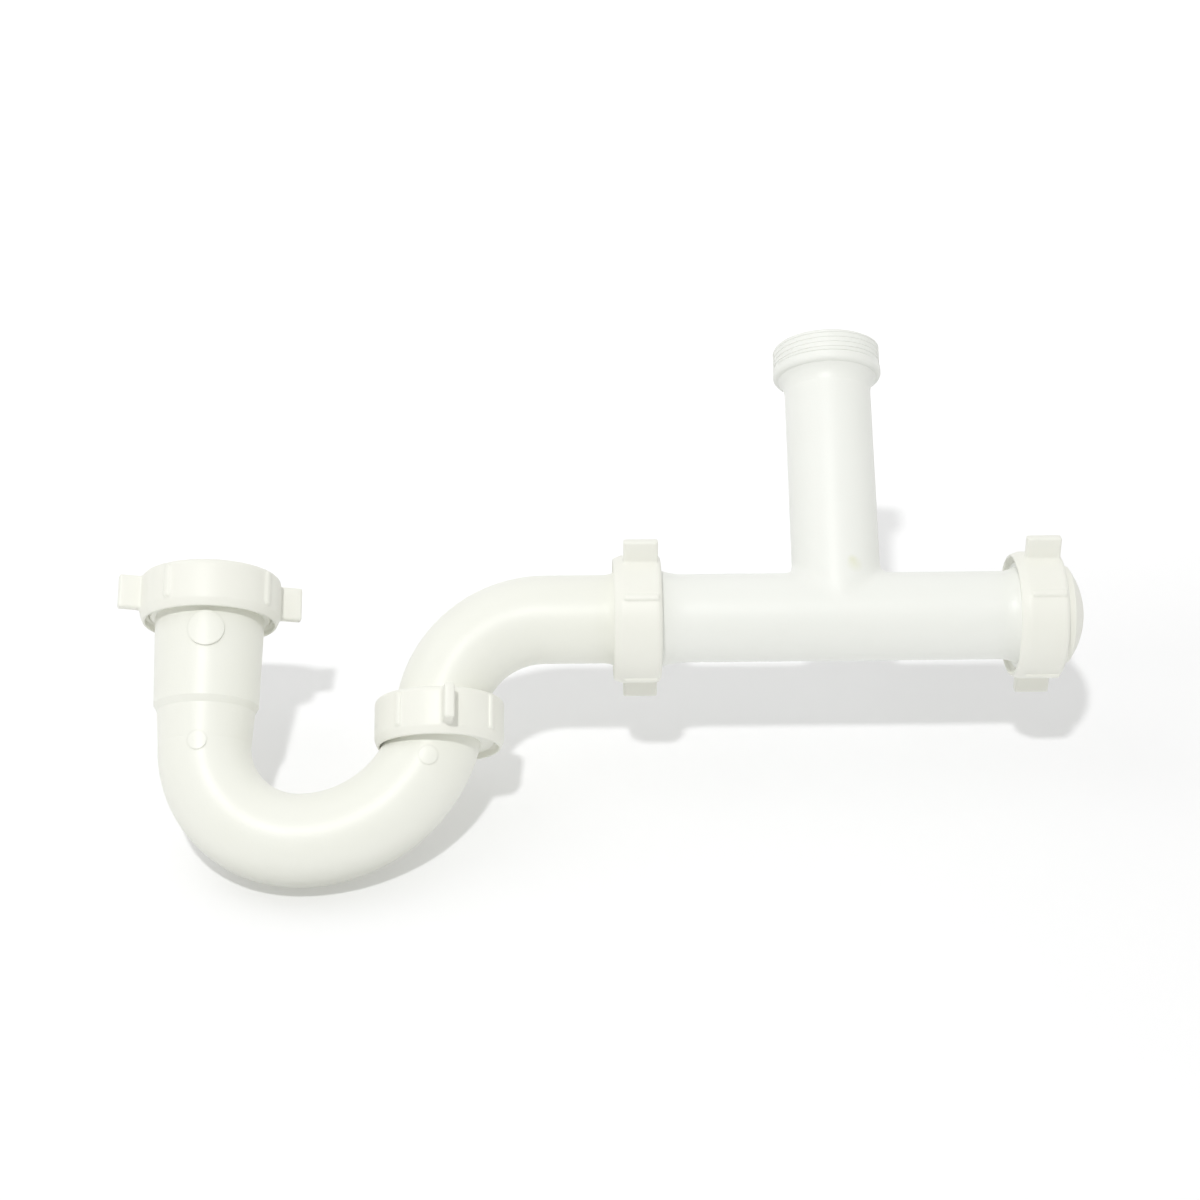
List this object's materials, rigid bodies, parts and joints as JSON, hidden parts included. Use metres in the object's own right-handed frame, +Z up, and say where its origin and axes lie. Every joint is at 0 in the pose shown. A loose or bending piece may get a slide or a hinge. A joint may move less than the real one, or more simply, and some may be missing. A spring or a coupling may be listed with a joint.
{
  "type": "tubular trap",
  "caption": "Off-white plastic tubular trap: a U-bend, a swept elbow and a tee joined by winged union nuts, with an open threaded branch and a plugged run end.",
  "frame": {"origin": "centre of the inlet socket's mouth, at the top of the trap bend's inlet collar", "axes": "+Z up along the inlet, the way a tailpiece leaves it; +X along the waste arm, from the trap bend to the plugged end; +Y to the back"},
  "size_m": [0.4343, 0.0768, 0.252],
  "materials": {
    "tube_plastic": "satin, moulded polypropylene",
    "nut_plastic": "satin, moulded polypropylene",
    "ring_plastic": "smooth, translucent polyethylene",
    "washer_rubber": "matte"
  },
  "bodies": {
    "trap": {"trap_bend": "tube_plastic", "inlet_washer": "washer_rubber", "bend_washer": "washer_rubber"},
    "inlet_ring": {"inlet_slip_ring": "ring_plastic"},
    "inlet_nut": {"inlet_nut": "nut_plastic"},
    "bend_ring": {"bend_slip_ring": "ring_plastic"},
    "bend_nut": {"bend_nut": "nut_plastic"},
    "elbow": {"outlet_elbow": "tube_plastic", "arm_washer": "washer_rubber"},
    "arm_ring": {"arm_slip_ring": "ring_plastic"},
    "arm_nut": {"arm_nut": "nut_plastic"},
    "tee": {"tee": "tube_plastic", "end_washer": "washer_rubber", "end_plug": "nut_plastic"},
    "end_ring": {"end_slip_ring": "ring_plastic"},
    "end_nut": {"end_nut": "nut_plastic"}
  },
  "joints": [
    {"name": "inlet_nut_climb", "type": "slide", "parent": "trap", "child": "inlet_ring", "axis": [0, 0, 1], "range_m": [0, 0.00981]},
    {"name": "inlet_nut_turn", "type": "hinge", "parent": "inlet_ring", "child": "inlet_nut", "pos_m": [0, 0, 0], "axis": [0, 0, 1], "range_deg": [0, 1530]},
    {"name": "bend_nut_climb", "type": "slide", "parent": "trap", "child": "bend_ring", "axis": [0, 0, 1], "range_m": [0, 0.00115]},
    {"name": "bend_nut_turn", "type": "hinge", "parent": "bend_ring", "child": "bend_nut", "pos_m": [0.104, 0, -0.0585], "axis": [0, 0, 1], "range_deg": [0, 180]},
    {"name": "elbow_swivel", "type": "hinge", "parent": "trap", "child": "elbow", "pos_m": [0.104, 0, -0.0585], "axis": [0, 0, 1], "range_deg": [-120, 120]},
    {"name": "arm_nut_climb", "type": "slide", "parent": "elbow", "child": "arm_ring", "axis": [1, 0, 0], "range_m": [0, 0.00981]},
    {"name": "arm_nut_turn", "type": "hinge", "parent": "arm_ring", "child": "arm_nut", "pos_m": [0.1942, 0, -0.0115], "axis": [1, 0, 0], "range_deg": [0, 1530]},
    {"name": "tee_swivel", "type": "hinge", "parent": "elbow", "child": "tee", "pos_m": [0.1942, 0, -0.0115], "axis": [1, 0, 0], "continuous": true},
    {"name": "end_nut_climb", "type": "slide", "parent": "tee", "child": "end_ring", "axis": [1, 0, 0], "range_m": [0, 0.00981]},
    {"name": "end_nut_turn", "type": "hinge", "parent": "end_ring", "child": "end_nut", "pos_m": [0.3742, 0, -0.0115], "axis": [1, 0, 0], "range_deg": [0, 1530]}
  ],
  "couplings": [
    {"joint": "inlet_nut_climb", "follows": "inlet_nut_turn", "m_per_rad": 0.00036749},
    {"joint": "bend_nut_climb", "follows": "bend_nut_turn", "m_per_rad": 0.00036749},
    {"joint": "arm_nut_climb", "follows": "arm_nut_turn", "m_per_rad": 0.00036749},
    {"joint": "end_nut_climb", "follows": "end_nut_turn", "m_per_rad": 0.00036749}
  ]
}
